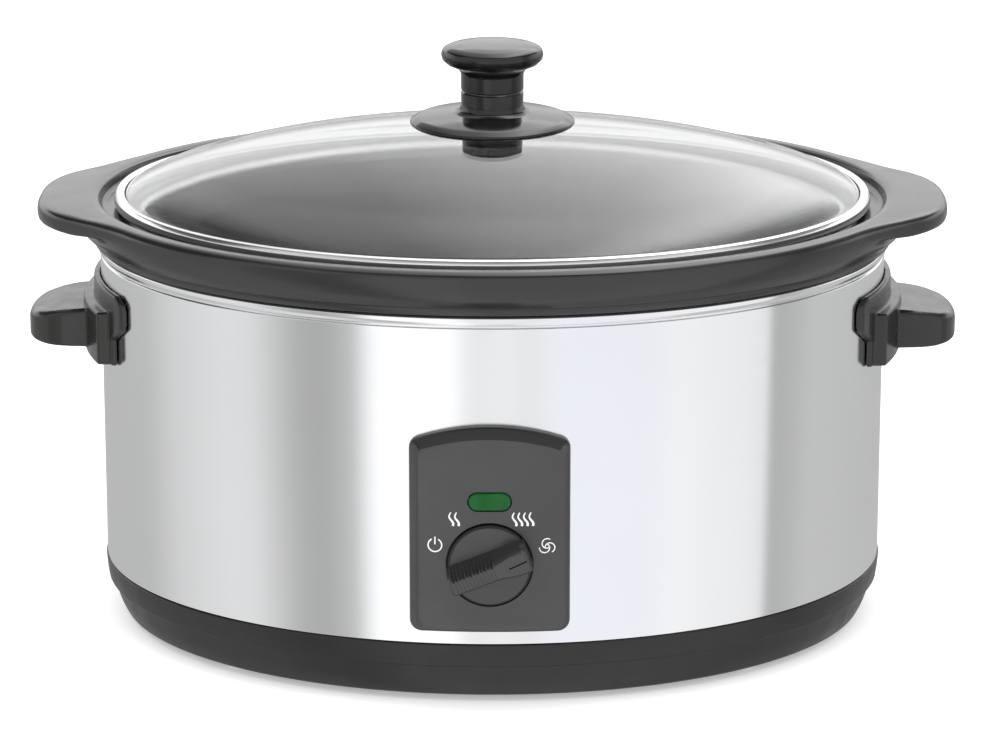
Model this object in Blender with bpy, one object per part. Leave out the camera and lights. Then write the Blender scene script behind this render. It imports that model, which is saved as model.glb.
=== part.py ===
"""Oval slow cooker: steel outer shell on a stepped black base, stoneware crock
hanging in an aluminium heating well, domed glass lid, side handles and a front
control panel. Metres, +Z up, the front faces -Y, origin at the middle of the
footprint on the surface that the feet stand on."""

import bmesh
import bpy
import math
from mathutils import Matrix, Vector

MM = 0.001

# ---------------------------------------------------------------- dimensions
HALF_LENGTH = 167.0 * MM      # outer shell, half length along X
HALF_DEPTH = 135.5 * MM       # outer shell, half depth along Y
FEET = 2.5 * MM               # height of the base's lower edge above the floor
BASE_TOP = 25.2 * MM          # shell meets the base, above the base's lower edge
SHELL_TOP = 162.5 * MM        # top of the rolled rim
SHEET = 0.9 * MM              # shell thickness
GAP = 0.35 * MM               # between pieces that touch
CROCK_FLANGE = 163.0 * MM     # underside of the crock's flange
CROCK_TOP = 182.3 * MM
LUG_TIP = 193.0 * MM          # crock lug, half length along X
LUG_UNDER = 173.6 * MM
LID_HALF_LENGTH = 160.6 * MM
LID_RIM = 182.0 * MM
LID_RISE = 28.0 * MM
GLASS = 4.0 * MM
HANDLE_TIP = 198.0 * MM
PANEL_HALF_WIDTH = 32.4 * MM
PANEL_BOTTOM = 31.4 * MM
PANEL_TOP = 117.8 * MM
PANEL_PROUD = 6.0 * MM
DIAL_Z = 60.9 * MM
DIAL_RADIUS = 17.4 * MM
DIAL_FRONT = 19.5 * MM        # front of the grip bar, ahead of the shell
DIAL_ANGLE = 21.5             # degrees, grip bar above horizontal at rest
LENS_Z = 87.4 * MM
KNOB_RADIUS = 21.7 * MM
STEM_RADIUS = 13.3 * MM
COLLAR_RADIUS = 35.0 * MM
KNOB_TOP = 246.0 * MM

SEGMENTS = 40                 # round the oval
ROUND = 20                    # round a small turned piece
CENTRE = -HALF_LENGTH / MM     # profile offset of the oval's middle
TAPER_FROM = -40.0 * MM       # rings further in than this share one outline ratio

# ---------------------------------------------------------------- scene set-up
for old in list(bpy.data.objects):
    bpy.data.objects.remove(old, do_unlink=True)

scene = bpy.context.scene
cooker = bpy.data.collections.new("slow_cooker")
cutters = bpy.data.collections.new("cutters")
scene.collection.children.link(cooker)
scene.collection.children.link(cutters)


def material(name, colour, roughness, metallic=0.0, alpha=1.0):
    made = bpy.data.materials.new(name)
    made.use_nodes = True
    shader = made.node_tree.nodes["Principled BSDF"]
    shader.inputs["Base Color"].default_value = (*colour, 1.0)
    shader.inputs["Roughness"].default_value = roughness
    shader.inputs["Metallic"].default_value = metallic
    shader.inputs["Alpha"].default_value = alpha
    return made


STEEL = material("polished_steel", (0.78, 0.78, 0.79), 0.16, 1.0)
BAND = material("band_steel", (0.72, 0.72, 0.72), 0.2, 1.0)
BLACK = material("black_plastic", (0.035, 0.035, 0.033), 0.38)
GLOSS = material("gloss_black", (0.02, 0.02, 0.02), 0.15)
GREY = material("panel_grey", (0.1, 0.1, 0.1), 0.45)
STONE = material("black_glaze", (0.045, 0.044, 0.042), 0.28)
CLEAR = material("clear_glass", (0.9, 0.93, 0.93), 0.03, 0.0, 0.35)
GREEN = material("green_lens", (0.02, 0.28, 0.07), 0.2)
ALUMINIUM = material("aluminium", (0.6, 0.6, 0.6), 0.4, 1.0)
MICA = material("heater_wrap", (0.5, 0.42, 0.3), 0.8)
RUBBER = material("rubber", (0.03, 0.03, 0.03), 0.85)
ZINC = material("zinc_screw", (0.6, 0.6, 0.58), 0.35, 1.0)
NYLON = material("white_nylon", (0.8, 0.78, 0.72), 0.5)
LAMP = material("lamp_glass", (0.9, 0.5, 0.3), 0.1)
WIRE = material("lead_sleeve", (0.5, 0.12, 0.05), 0.5)


# ---------------------------------------------------------------- helpers
def finish(name, bm, mat, smooth=True):
    """An object from a closed bmesh, its faces turned outwards."""
    bmesh.ops.remove_doubles(bm, verts=bm.verts, dist=1e-6)
    bmesh.ops.recalc_face_normals(bm, faces=bm.faces)
    mesh = bpy.data.meshes.new(name)
    bm.to_mesh(mesh)
    bm.free()
    if smooth:
        mesh.shade_smooth()
        mesh.set_sharp_from_angle(angle=math.radians(35))
    mesh.materials.append(mat)
    made = bpy.data.objects.new(name, mesh)
    cooker.objects.link(made)
    return made


def as_cutter(obj):
    cooker.objects.unlink(obj)
    cutters.objects.link(obj)
    obj.hide_render = True
    obj.display_type = "WIRE"
    return obj


def cut(obj, cutter, operation="DIFFERENCE"):
    modifier = obj.modifiers.new(operation.lower(), "BOOLEAN")
    modifier.operation = operation
    modifier.solver = "EXACT"
    modifier.object = cutter
    return obj


def oval_y(y, radius):
    """Draws a turned ring's depth in, so that its wall stays the same distance from the shell."""
    if radius < 1e-9:
        return y
    inset = max(radius - HALF_LENGTH, TAPER_FROM)
    return y * (HALF_DEPTH + inset) / (HALF_LENGTH + inset)


def turn(profile, steps, closed=True):
    """A profile of (radius, height) turned about Z."""
    bm = bmesh.new()
    points = [bm.verts.new((r, 0, z)) for r, z in profile]
    for a, b in zip(points, points[1:]):
        bm.edges.new((a, b))
    if closed:
        bm.edges.new((points[-1], points[0]))
    bmesh.ops.spin(
        bm, geom=bm.verts[:] + bm.edges[:], cent=(0, 0, 0), axis=(0, 0, 1),
        angle=2 * math.pi, steps=steps, use_merge=True, use_duplicate=False,
    )
    bmesh.ops.remove_doubles(bm, verts=bm.verts, dist=1e-6)
    flat = [f for f in bm.faces if f.calc_area() < 1e-13]
    if flat:
        bmesh.ops.delete(bm, geom=flat, context="FACES")
    return bm


def oval(name, profile, mat, steps=SEGMENTS, closed=True):
    """A turned profile of (offset from the shell, height above the base edge) in mm, drawn in to the oval."""
    bm = turn([(max(HALF_LENGTH + o * MM, 0.0), FEET + z * MM) for o, z in profile], steps, closed)
    for v in bm.verts:
        v.co.y = oval_y(v.co.y, math.hypot(v.co.x, v.co.y))
    return finish(name, bm, mat)


def turned(name, profile, mat, matrix=Matrix(), steps=ROUND, closed=False):
    """A turned piece; the profile is (radius, height) in mm and starts and ends on the axis unless closed."""
    bm = turn([(r * MM, z * MM) for r, z in profile], steps, closed)
    bm.transform(matrix)
    return finish(name, bm, mat)


def box(low, high):
    bm = bmesh.new()
    bmesh.ops.create_cube(bm, size=1.0)
    low, high = Vector(low), Vector(high)
    size = high - low
    bmesh.ops.scale(bm, vec=size, verts=bm.verts)
    bmesh.ops.translate(bm, vec=(low + high) / 2, verts=bm.verts)
    return bm


def bevel(bm, width, segments=2, only=None):
    edges = [e for e in bm.edges if e.calc_face_angle(0) > 0.6 and (only is None or only(e))]
    bmesh.ops.bevel(bm, geom=edges, offset=width, segments=segments, profile=0.5, affect="EDGES", clamp_overlap=True)
    return bm


def plate(outline, low, high):
    """A flat outline of (x, z) in metres, extruded along Y from low to high."""
    bm = bmesh.new()
    face = bm.faces.new([bm.verts.new((x, low, z)) for x, z in outline])
    grown = bmesh.ops.extrude_face_region(bm, geom=[face])
    bmesh.ops.translate(
        bm, vec=(0, high - low, 0),
        verts=[g for g in grown["geom"] if isinstance(g, bmesh.types.BMVert)],
    )
    bmesh.ops.recalc_face_normals(bm, faces=bm.faces)
    return bm


def slice_along(bm, axis, places):
    normal = Vector((0, 0, 0))
    normal[axis] = 1
    for place in places:
        spot = Vector((0, 0, 0))
        spot[axis] = place
        bmesh.ops.bisect_plane(
            bm, geom=bm.verts[:] + bm.edges[:] + bm.faces[:], plane_co=spot, plane_no=normal
        )
    return bm


def front_y(x, proud):
    """Depth of the oval that stands proud of the shell, on the front, at x."""
    a, b = HALF_LENGTH + proud, HALF_DEPTH + proud
    return -b * math.sqrt(max(1 - (x / a) ** 2, 0.0))


def end_x(y, proud):
    """Half length of the oval that stands proud of the shell, at depth y."""
    a, b = HALF_LENGTH + proud, HALF_DEPTH + proud
    return a * math.sqrt(max(1 - (y / b) ** 2, 0.0))


def wrap_front(bm, side=-1):
    """Bends a plate onto the shell: its Y is the distance ahead of the shell."""
    for v in bm.verts:
        v.co.y = -side * front_y(v.co.x, v.co.y)
    return bm


FRONT = -HALF_DEPTH
TO_FRONT = Matrix.Rotation(math.radians(90), 4, "X")   # a piece turned about Z then faces -Y


# ---------------------------------------------------------------- base
oval("base_moulding", [
    (0.5, 24.8), (-0.2, 19.5), (-0.9, 14.8), (-2.2, 14.2), (-4.6, 6.5), (-7.6, 0.9), (-8.6, 0.0),
    (-24.0, 0.0), (-24.0, 2.6), (-10.2, 2.6), (-7.2, 8.0), (-4.2, 15.5), (-1.8, 24.8),
], BLACK)
base = bpy.data.objects["base_moulding"]
cover = oval("bottom_cover", [
    (CENTRE, 0.8), (-24.5, 0.8), (-24.5, 3.0), (-10.9, 3.0), (-10.9, 4.8), (CENTRE, 4.8),
], BLACK, closed=False)

FOOT_X, FOOT_Y = 96 * MM, 58 * MM
for name, sx, sy in (("foot_front_left", -1, -1), ("foot_front_right", 1, -1),
                     ("foot_rear_left", -1, 1), ("foot_rear_right", 1, 1)):
    turned(name, [(0, 0.0), (8.4, 0.0), (9.4, 0.8), (9.8, 2.95), (0, 2.95)],
           RUBBER, Matrix.Translation((sx * FOOT_X, sy * FOOT_Y, 0)), steps=20)


# four screws from below, through the base's ledge into the bottom cover
SCREWS = []
for name, sx, sy in (("cover_screw_1", -1, -1), ("cover_screw_2", 1, -1),
                     ("cover_screw_3", -1, 1), ("cover_screw_4", 1, 1)):
    spot = Vector((sx * 106 * MM, sy * (HALF_DEPTH - 17 * MM) * math.sqrt(1 - (106 / 150) ** 2), FEET))
    SCREWS.append(spot)
    turned(name, [(0, -1.9), (2.6, -1.9), (3.2, -1.2), (3.2, -0.4), (1.5, -0.4), (1.5, 7.0), (0, 7.0)],
           ZINC, Matrix.Translation(spot), steps=10)


def rods(name, places, radius, low, high, direction=Matrix(), steps=16):
    """A cutter of parallel round rods along the direction's Z."""
    bm = bmesh.new()
    for place in places:
        bmesh.ops.create_cone(
            bm, cap_ends=True, segments=steps, radius1=radius, radius2=radius, depth=high - low,
            matrix=Matrix.Translation(place) @ direction @ Matrix.Translation((0, 0, (low + high) / 2)),
        )
    return as_cutter(finish(name, bm, ZINC, smooth=False))


screw_holes = rods("cut_cover_screws", SCREWS, 1.9 * MM, -3 * MM, 12 * MM, steps=10)
cut(base, screw_holes)
cut(cover, screw_holes)
bolt_hole = rods("cut_tie_bolt", [Vector((0, 0, FEET))], 3.4 * MM, -4 * MM, 28.5 * MM, steps=12)
cut(cover, bolt_hole)
reflector = oval("heat_reflector", [(CENTRE, 25.0), (-30.0, 25.0), (-30.0, 26.0), (CENTRE, 26.0)],
                 ALUMINIUM, closed=False)
cut(reflector, bolt_hole)
turned("tie_bolt", [(0, -1.9), (5.2, -1.9), (6.0, -1.0), (6.0, 0.4), (3.0, 0.4), (3.0, 30.4), (0, 30.4)],
       ZINC, Matrix.Translation((0, 0, FEET)), steps=12)

# ---------------------------------------------------------------- shell and heating well
shell = oval("outer_shell", [
    (0.0, BASE_TOP / MM), (0.0, 157.4), (-0.5, 158.1), (0.3, 158.9), (0.8, 160.4), (0.2, 161.9), (-1.0, 162.5),
    (-3.4, 162.5), (-3.4, 161.7), (-1.2, 161.7), (-0.6, 160.4), (-1.6, 158.1), (-0.9, 157.0), (-0.9, BASE_TOP / MM),
], STEEL)
oval("heating_well", [
    (CENTRE, 31.8), (-50.0, 31.8), (-33.6, 33.6), (-21.0, 44.0), (-17.6, 60.0), (-17.6, 160.2), (-16.8, 161.2), (-1.8, 161.2),
    (-1.8, 160.3), (-16.0, 160.3), (-16.6, 159.4), (-16.6, 60.0), (-20.0, 43.4), (-33.0, 32.6), (-50.0, 30.8), (CENTRE, 30.8),
], ALUMINIUM, closed=False)
oval("heater_band", [(-16.2, 62.0), (-14.6, 62.0), (-14.6, 98.0), (-16.2, 98.0)], MICA)

# ---------------------------------------------------------------- crock
crock = oval("crock", [
    (CENTRE, 42.0), (-52.0, 42.2), (-35.0, 46.0), (-28.0, 60.0), (-26.0, 150.0), (-23.0, 168.0), (-15.5, 176.2),
    (-2.4, 177.0), (-1.0, 178.4), (-0.2, 181.2), (1.4, 182.3), (6.6, 182.3), (9.0, 180.6), (9.6, 177.6),
    (7.6, 170.6), (4.4, 166.6), (3.0, 165.8), (2.4, 163.0), (-18.9, 163.0), (-19.8, 150.0), (-21.0, 62.0),
    (-26.0, 46.0), (-38.0, 36.0), (-56.0, 34.6), (CENTRE, 34.6),
], STONE, closed=False)
LUG_PLAN = [(LUG_TIP / MM, 0), (192.4, 14), (189.9, 27), (185.6, 36.5), (178.6, 44.3), (171.0, 49.5), (164.0, 57), (155.0, 68)]
bm = bmesh.new()
for side in (1, -1):
    half = [Vector((x * MM * side, y * MM, 0)) for x, y in LUG_PLAN]
    back = [Vector((end_x(y * MM, 3 * MM) * side, y * MM, 0)) for y in (63, 42, 21, 0)]
    loop = ([Vector((p.x, -p.y, 0)) for p in reversed(half[1:])] + half + back
            + [Vector((p.x, -p.y, 0)) for p in reversed(back[:-1])])
    low = FEET + LUG_UNDER
    face = bm.faces.new([bm.verts.new(p + Vector((0, 0, low))) for p in loop])
    grown = bmesh.ops.extrude_face_region(bm, geom=[face])
    for g in grown["geom"]:
        if isinstance(g, bmesh.types.BMVert):
            g.co.z = FEET + 181.2 * MM - max(abs(g.co.x) - 172 * MM, 0) * 0.03
lugs = as_cutter(finish("add_lugs", bm, STONE, smooth=False))
cut(crock, lugs, "UNION")

# ---------------------------------------------------------------- lid
LID = Matrix.Translation((0, 0, FEET))
GLASS_EDGE = -10.9            # mm, offset where the dome meets its flat rim


def dome(offset):
    radius = (HALF_LENGTH / MM + offset) / (HALF_LENGTH / MM + GLASS_EDGE)
    return LID_RIM / MM + LID_RISE / MM * max(1 - radius ** 2, 0.0) ** 0.7


rings = [-162.0, -138.0, -112.0, -86.0, -62.0, -42.0, -28.0, -18.0, -12.6, GLASS_EDGE]
thick = GLASS / MM
oval("lid_glass", [(o, dome(o)) for o in rings] + [(-8.0, 181.9), (-8.0, 179.0)]
     + [(o - 1.0, dome(o) - thick * (0.9 if o < -20 else 0.8)) for o in reversed(rings[1:-1])]
     + [(rings[0], dome(rings[0]) - thick * 0.9)], CLEAR)
oval("lid_band", [
    (-10.7, 183.2), (-8.0, 183.6), (-6.8, 182.9), (-6.4, 181.4), (-6.5, 179.0), (-7.4, 177.8), (-10.7, 177.8),
    (-10.7, 178.5), (-7.3, 178.5), (-7.3, 182.3), (-10.7, 182.45),
], BAND)
turned("knob_collar", [
    (3.2, 210.8), (18.0, 210.6), (33.6, 211.6), (35.0, 212.8), (34.2, 214.3), (18.5, 215.6), (14.6, 216.8),
    (STEM_RADIUS / MM, 219.0), (STEM_RADIUS / MM, 225.2), (3.2, 225.2),
], GLOSS, LID, closed=True, steps=24)
turned("lid_knob", [
    (0, KNOB_TOP / MM), (13.0, 245.6), (19.6, 244.7), (21.2, 243.2), (KNOB_RADIUS / MM, 241.0), (20.8, 238.2),
    (16.8, 236.2), (14.2, 234.2), (STEM_RADIUS / MM, 230.6), (STEM_RADIUS / MM, 225.6), (3.0, 225.6), (3.0, 238.0), (0, 238.0),
], GLOSS, LID, steps=24)
turned("knob_washer", [(3.2, 206.0), (17.6, 205.6), (19.3, 204.6), (18.8, 202.4), (16.0, 201.2), (3.2, 201.2)],
       GLOSS, LID, closed=True, steps=24)
turned("knob_screw", [(0, 198.6), (4.4, 198.6), (5.4, 199.6), (5.4, 200.8), (2.6, 200.8), (2.6, 237.6), (0, 237.6)],
       ZINC, LID, steps=12)

# ---------------------------------------------------------------- control panel
def corner(cx, cz, radius, start, steps=4):
    return [(cx + radius * math.cos(math.radians(start + 90 * i / steps)),
             cz + radius * math.sin(math.radians(start + 90 * i / steps))) for i in range(steps + 1)]


def panel_outline(inset):
    w, low, high, r = PANEL_HALF_WIDTH - inset, PANEL_BOTTOM + inset, PANEL_TOP - inset, 4.6 * MM
    drop = 6.2 * MM
    arch = [(x * w, high - drop * x * x) for x in (0.66, 0.44, 0.22, 0.0, -0.22, -0.44, -0.66)]
    shape = (corner(-w + r, low + r, r, 180) + corner(w - r, low + r, r, 270)
             + corner(w - r, high - drop - r * 0.9, r, 0) + arch + corner(-w + r, high - drop - r * 0.9, r, 90))
    return [(x, z + FEET) for x, z in shape]


def stadium(cx, cz, half_width, radius, steps=6):
    flat = half_width - radius
    right = [(cx + flat + radius * math.cos(math.radians(-90 + 180 * i / steps)),
              cz + radius * math.sin(math.radians(-90 + 180 * i / steps))) for i in range(steps + 1)]
    return right + [(2 * cx - x, 2 * cz - z) for x, z in right]


bm = plate(panel_outline(0.0), GAP, PANEL_PROUD)
bevel(bm, 2.9 * MM, 2, only=lambda e: all(v.co.y > PANEL_PROUD - 1e-5 for v in e.verts))
slice_along(bm, 0, [x * MM for x in range(-28, 29, 7)])
panel = finish("control_panel", wrap_front(bm), GREY)

lens_spot = (0.0, FEET + LENS_Z)
window = as_cutter(finish("cut_window", plate(stadium(*lens_spot, 9.0 * MM, 4.1 * MM), FRONT - 12 * MM, FRONT + 6 * MM), GREY, False))
DIAL_SPOT = Vector((0, FRONT, FEET + DIAL_Z))
neck_hole = rods("cut_neck", [DIAL_SPOT], 5.5 * MM, -6 * MM, 12 * MM, TO_FRONT, steps=16)
cut(panel, window)
cut(panel, neck_hole)
cut(shell, window)
cut(shell, neck_hole)

bm = plate(stadium(*lens_spot, 8.6 * MM, 3.7 * MM), 0.0, 6.9 * MM)
bevel(bm, 0.9 * MM, 1, only=lambda e: all(v.co.y > 6.8 * MM for v in e.verts))
slice_along(bm, 0, [-5 * MM, 0.0, 5 * MM])
finish("indicator_lens", wrap_front(bm), GREEN)
turned("neon_lamp", [(0, -8), (2.2, -7), (3.0, -5), (3.0, 5), (2.2, 7), (0, 8)], LAMP,
       Matrix.Translation((0, FRONT + 6.4 * MM, FEET + LENS_Z)) @ Matrix.Rotation(math.radians(90), 4, "Y"), steps=10)
bm = box((-9 * MM, FRONT + 10.0 * MM, FEET + LENS_Z - 5 * MM), (9 * MM, FRONT + 11.4 * MM, FEET + LENS_Z + 5 * MM))
finish("lamp_holder", bm, NYLON, False)

# ---------------------------------------------------------------- switch, shaft and dial
bm = box((-14 * MM, FRONT + 2.1 * MM, FEET + DIAL_Z - 13 * MM), (14 * MM, FRONT + 13.2 * MM, FEET + DIAL_Z + 13 * MM))
bevel(bm, 1.5 * MM, 1)
switch = finish("rotary_switch", bm, NYLON, False)
neck = rods("add_neck", [DIAL_SPOT], 5.0 * MM, -6 * MM, 5.4 * MM, TO_FRONT, steps=16)
bore = rods("cut_bore", [DIAL_SPOT], 3.4 * MM, -9 * MM, 12 * MM, TO_FRONT, steps=16)
cut(switch, neck, "UNION")
cut(switch, bore)


def on_axis(obj, point):
    """Moves the object's origin to a point on its joint's axis; the shape stays where it is."""
    obj.data.transform(Matrix.Translation(-Vector(point)))
    obj.location = point
    return obj


at_dial = Matrix.Translation(DIAL_SPOT) @ TO_FRONT
on_axis(turned("dial_shaft", [(0, -8.4), (3.0, -8.4), (3.0, 15.0), (0, 15.0)], ZINC, at_dial, steps=16), DIAL_SPOT)
dial = turned("control_dial", [(0, 8.8), (16.4, 8.8), (DIAL_RADIUS / MM, 8.2), (DIAL_RADIUS / MM, 6.5), (0, 6.5)],
              BLACK, at_dial, steps=32)
bm = box((-16.8 * MM, -6.2 * MM, 7.4 * MM), (16.8 * MM, 6.2 * MM, DIAL_FRONT))
for v in bm.verts:
    if v.co.z > 10 * MM:
        v.co.y *= 0.62
        v.co.x *= 0.95
bevel(bm, 1.2 * MM, 1)
bm.transform(at_dial @ Matrix.Rotation(math.radians(DIAL_ANGLE), 4, "Z"))
grip = as_cutter(finish("add_grip", bm, BLACK, False))
socket = rods("cut_socket", [DIAL_SPOT], 3.35 * MM, 4 * MM, 15.4 * MM, TO_FRONT, steps=16)
cut(dial, grip, "UNION")
cut(dial, socket)
on_axis(dial, DIAL_SPOT)

# ---------------------------------------------------------------- handles
PLATE = [(-46, 127.5), (-58, 135.5), (-58, 146.4), (-54, 149), (54, 149), (58, 146.4), (58, 135.5), (46, 127.5)]
TONGUE = [(0, 1.0), (0.35, 0.985), (0.6, 0.93), (0.8, 0.8), (0.92, 0.6), (0.985, 0.32)]


def end_plate(outline, inner, outer):
    """A (y, z) outline in mm lying on the shell's +X end, between two distances from the shell."""
    bm = plate([(y * MM, z * MM + FEET) for y, z in outline], inner, outer)
    slice_along(bm, 0, [y * MM for y in (-44, -29, -14, 0, 14, 29, 44)])
    for v in bm.verts:
        depth, proud = v.co.x, v.co.y
        v.co.x, v.co.y = end_x(depth, proud), depth
    bmesh.ops.recalc_face_normals(bm, faces=bm.faces)
    return bm


for side, name in ((-1, "left"), (1, "right")):
    mirror = Matrix.Scale(side, 4, (1, 0, 0))
    bm = end_plate(PLATE, GAP, 3.0 * MM)
    bm.transform(mirror)
    handle = finish("handle_" + name, bm, BLACK)
    bm = end_plate([(-46, 117.3), (46, 117.3), (46, 141.0), (-46, 141.0)], GAP, 5.6 * MM)
    bm.transform(mirror)
    rib = as_cutter(finish("add_rib_" + name, bm, BLACK, False))
    bm = bmesh.new()
    root, reach, half = 168.0 * MM, HANDLE_TIP - 168.0 * MM, 26.0 * MM
    edge = [(root + u * reach, w * half) for u, w in TONGUE] + [(HANDLE_TIP, 0.0)]
    loop = edge + [(x, -y) for x, y in reversed(edge[:-1])]
    face = bm.faces.new([bm.verts.new((x, y, FEET + 119.6 * MM)) for x, y in loop])
    grown = bmesh.ops.extrude_face_region(bm, geom=[face])
    for g in grown["geom"]:
        if isinstance(g, bmesh.types.BMVert):
            g.co.z = FEET + 136.2 * MM - 4.5 * MM * ((g.co.x - root) / reach) ** 2
    bmesh.ops.recalc_face_normals(bm, faces=bm.faces)
    bevel(bm, 2.6 * MM, 1, only=lambda e: all(v.co.z > FEET + 122 * MM for v in e.verts) and
          max(v.co.x for v in e.verts) > root + 1e-5 and abs(e.verts[0].co.z - e.verts[1].co.z) < 3 * MM)
    bm.transform(mirror)
    tongue = as_cutter(finish("add_tongue_" + name, bm, BLACK, False))
    places = [Vector((0, y * MM, FEET + 130 * MM)) for y in (-20, 20)]
    out = Matrix.Rotation(math.radians(90 * side), 4, "Y")
    inside = end_x(20 * MM, -0.9 * MM)
    holes = rods("cut_screws_" + name, places, 1.95 * MM, inside - 5 * MM, inside + 14 * MM, out, steps=10)
    cut(handle, rib, "UNION")
    cut(handle, tongue, "UNION")
    cut(handle, holes)
    cut(shell, holes)
    for place, end in zip(places, ("front", "rear")):
        start = inside / MM
        turned("handle_screw_%s_%s" % (name, end), [
            (0, start - 3.6), (3.4, start - 3.6), (3.4, start - 1.2), (1.5, start - 1.2), (1.5, start + 13), (0, start + 13),
        ], ZINC, Matrix.Translation(place) @ out, steps=10)

# ---------------------------------------------------------------- rear inlet and wiring
INLET_Z = 44.0 * MM
bm = plate([(-20 * MM, FEET + 30 * MM), (20 * MM, FEET + 30 * MM), (20 * MM, FEET + 58 * MM), (-20 * MM, FEET + 58 * MM)], GAP, 14.0 * MM)
bevel(bm, 3.0 * MM, 2, only=lambda e: max(v.co.y for v in e.verts) > 13 * MM)
slice_along(bm, 0, [-10 * MM, 0.0, 10 * MM])
housing = finish("inlet_housing", wrap_front(bm, side=1), BLACK)
to_rear = Matrix.Rotation(math.radians(-90), 4, "X")
inlet_spot = Vector((0, HALF_DEPTH, FEET + INLET_Z))
inlet_hole = rods("cut_inlet", [inlet_spot], 5.9 * MM, -5 * MM, 20 * MM, to_rear, steps=16)
cut(housing, inlet_hole)
cut(shell, inlet_hole)
turned("cord_gland", [
    (3.6, -5.0), (5.5, -5.0), (5.5, 14.4), (8.0, 14.4), (8.0, 16.6), (6.2, 17.2), (5.6, DIAL_FRONT / MM), (3.6, DIAL_FRONT / MM),
], RUBBER, Matrix.Translation(inlet_spot) @ to_rear, closed=True, steps=16)
bm = box((-44 * MM, HALF_DEPTH - 16 * MM, FEET + 38 * MM), (-16 * MM, HALF_DEPTH - 7.5 * MM, FEET + 49 * MM))
bevel(bm, 1.0 * MM, 1)
finish("terminal_block", bm, NYLON, False)

# thermal cut-out lying on the heater band, under its bracket, at the back
turned("thermal_cutout", [(0, -9), (1.6, -8), (2.4, -6), (2.4, 6), (1.6, 8), (0, 9)], LAMP,
       Matrix.Translation((0, HALF_DEPTH - 11.2 * MM, FEET + 84 * MM)) @ Matrix.Rotation(math.radians(90), 4, "Y"), steps=10)
bm = box((-13 * MM, HALF_DEPTH - 8.3 * MM, FEET + 77 * MM), (13 * MM, HALF_DEPTH - 7.3 * MM, FEET + 91 * MM))
finish("cutout_bracket", bm, ALUMINIUM, False)


def lead(name, points, radius):
    """An insulated lead along a smooth run of points: a curve with a round section and filled ends."""
    data = bpy.data.curves.new(name, "CURVE")
    data.dimensions = "3D"
    data.bevel_depth = radius
    data.bevel_resolution = 1
    data.use_fill_caps = True
    spline = data.splines.new("POLY")
    spline.points.add(len(points) - 1)
    for spot, p in zip(spline.points, points):
        spot.co = (*p, 1.0)
    data.materials.append(WIRE)
    made = bpy.data.objects.new(name, data)
    cooker.objects.link(made)
    return made


def round_the_well(inset, start, end, low, high, count):
    """Points between shell and well, from one bearing to another (degrees from +X), at a rising height."""
    a, b = HALF_LENGTH - inset, HALF_DEPTH - inset
    spots = []
    for i in range(count):
        t = i / (count - 1)
        angle = math.radians(start + (end - start) * t)
        ease = t * t * (3 - 2 * t)
        spots.append(Vector((a * math.cos(angle), b * math.sin(angle), FEET + low + (high - low) * ease)))
    return spots


lead("lead_switch", round_the_well(8.5 * MM, 109, 262, 44 * MM, 56 * MM, 18), 1.3 * MM)
lead("lead_heater", round_the_well(9.5 * MM, 80, 28, 46 * MM, 56 * MM, 8), 1.3 * MM)
lead("lead_lamp", [Vector((x * MM, FRONT + y * MM, FEET + z * MM)) for x, y, z in
                   ((10.6, 6.4, 87.8), (13, 6.6, 87.0), (15.5, 7.0, 84.5), (17, 7.6, 81), (17.5, 8.2, 76), (16.6, 8.6, 71.5), (14.8, 8.8, 69))], 1.0 * MM)

# panel screws, from inside the shell into the panel's back
spots = [Vector((x * MM, FRONT, FEET + z * MM)) for x, z in ((-26, 100), (26, 100), (-26, 42), (26, 42))]
panel_holes = rods("cut_panel_screws", spots, 1.9 * MM, -6 * MM, 3.4 * MM, TO_FRONT, steps=10)
cut(panel, panel_holes)
cut(shell, panel_holes)
for spot, name in zip(spots, ("upper_left", "upper_right", "lower_left", "lower_right")):
    turned("panel_screw_" + name, [
        (0, -6.2), (2.8, -6.2), (2.8, -4.2), (1.5, -4.2), (1.5, 2.4), (0, 2.4),
    ], ZINC, Matrix.Translation(spot) @ TO_FRONT, steps=10)
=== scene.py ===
"""Looks for the oval slow cooker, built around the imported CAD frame. Metres, +Z up, front faces -Y."""
import math

import bmesh
import bpy
import numpy as np
from mathutils import Matrix, Vector


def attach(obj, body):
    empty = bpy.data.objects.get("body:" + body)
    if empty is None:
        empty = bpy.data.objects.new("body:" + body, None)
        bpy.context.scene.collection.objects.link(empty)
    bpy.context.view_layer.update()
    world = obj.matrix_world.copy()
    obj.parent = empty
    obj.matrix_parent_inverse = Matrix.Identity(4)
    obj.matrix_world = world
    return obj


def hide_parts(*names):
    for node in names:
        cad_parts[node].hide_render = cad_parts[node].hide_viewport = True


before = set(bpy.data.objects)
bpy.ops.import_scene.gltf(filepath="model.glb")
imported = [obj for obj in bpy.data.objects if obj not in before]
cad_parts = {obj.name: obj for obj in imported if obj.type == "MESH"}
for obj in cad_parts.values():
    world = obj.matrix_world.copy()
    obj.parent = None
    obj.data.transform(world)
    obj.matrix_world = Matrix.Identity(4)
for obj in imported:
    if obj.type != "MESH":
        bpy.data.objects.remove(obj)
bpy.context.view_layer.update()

MM = 0.001
A, B = 167.0, 135.5           # half axes of the shell, mm
FEET = 2.5                    # mm under the base edge; heights below are above the base edge
N = 288                       # steps round the oval
FRONT = -B

scene = bpy.context.scene
scene.view_settings.view_transform = "Standard"
looks = bpy.data.collections.new("looks")
scene.collection.children.link(looks)


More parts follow.
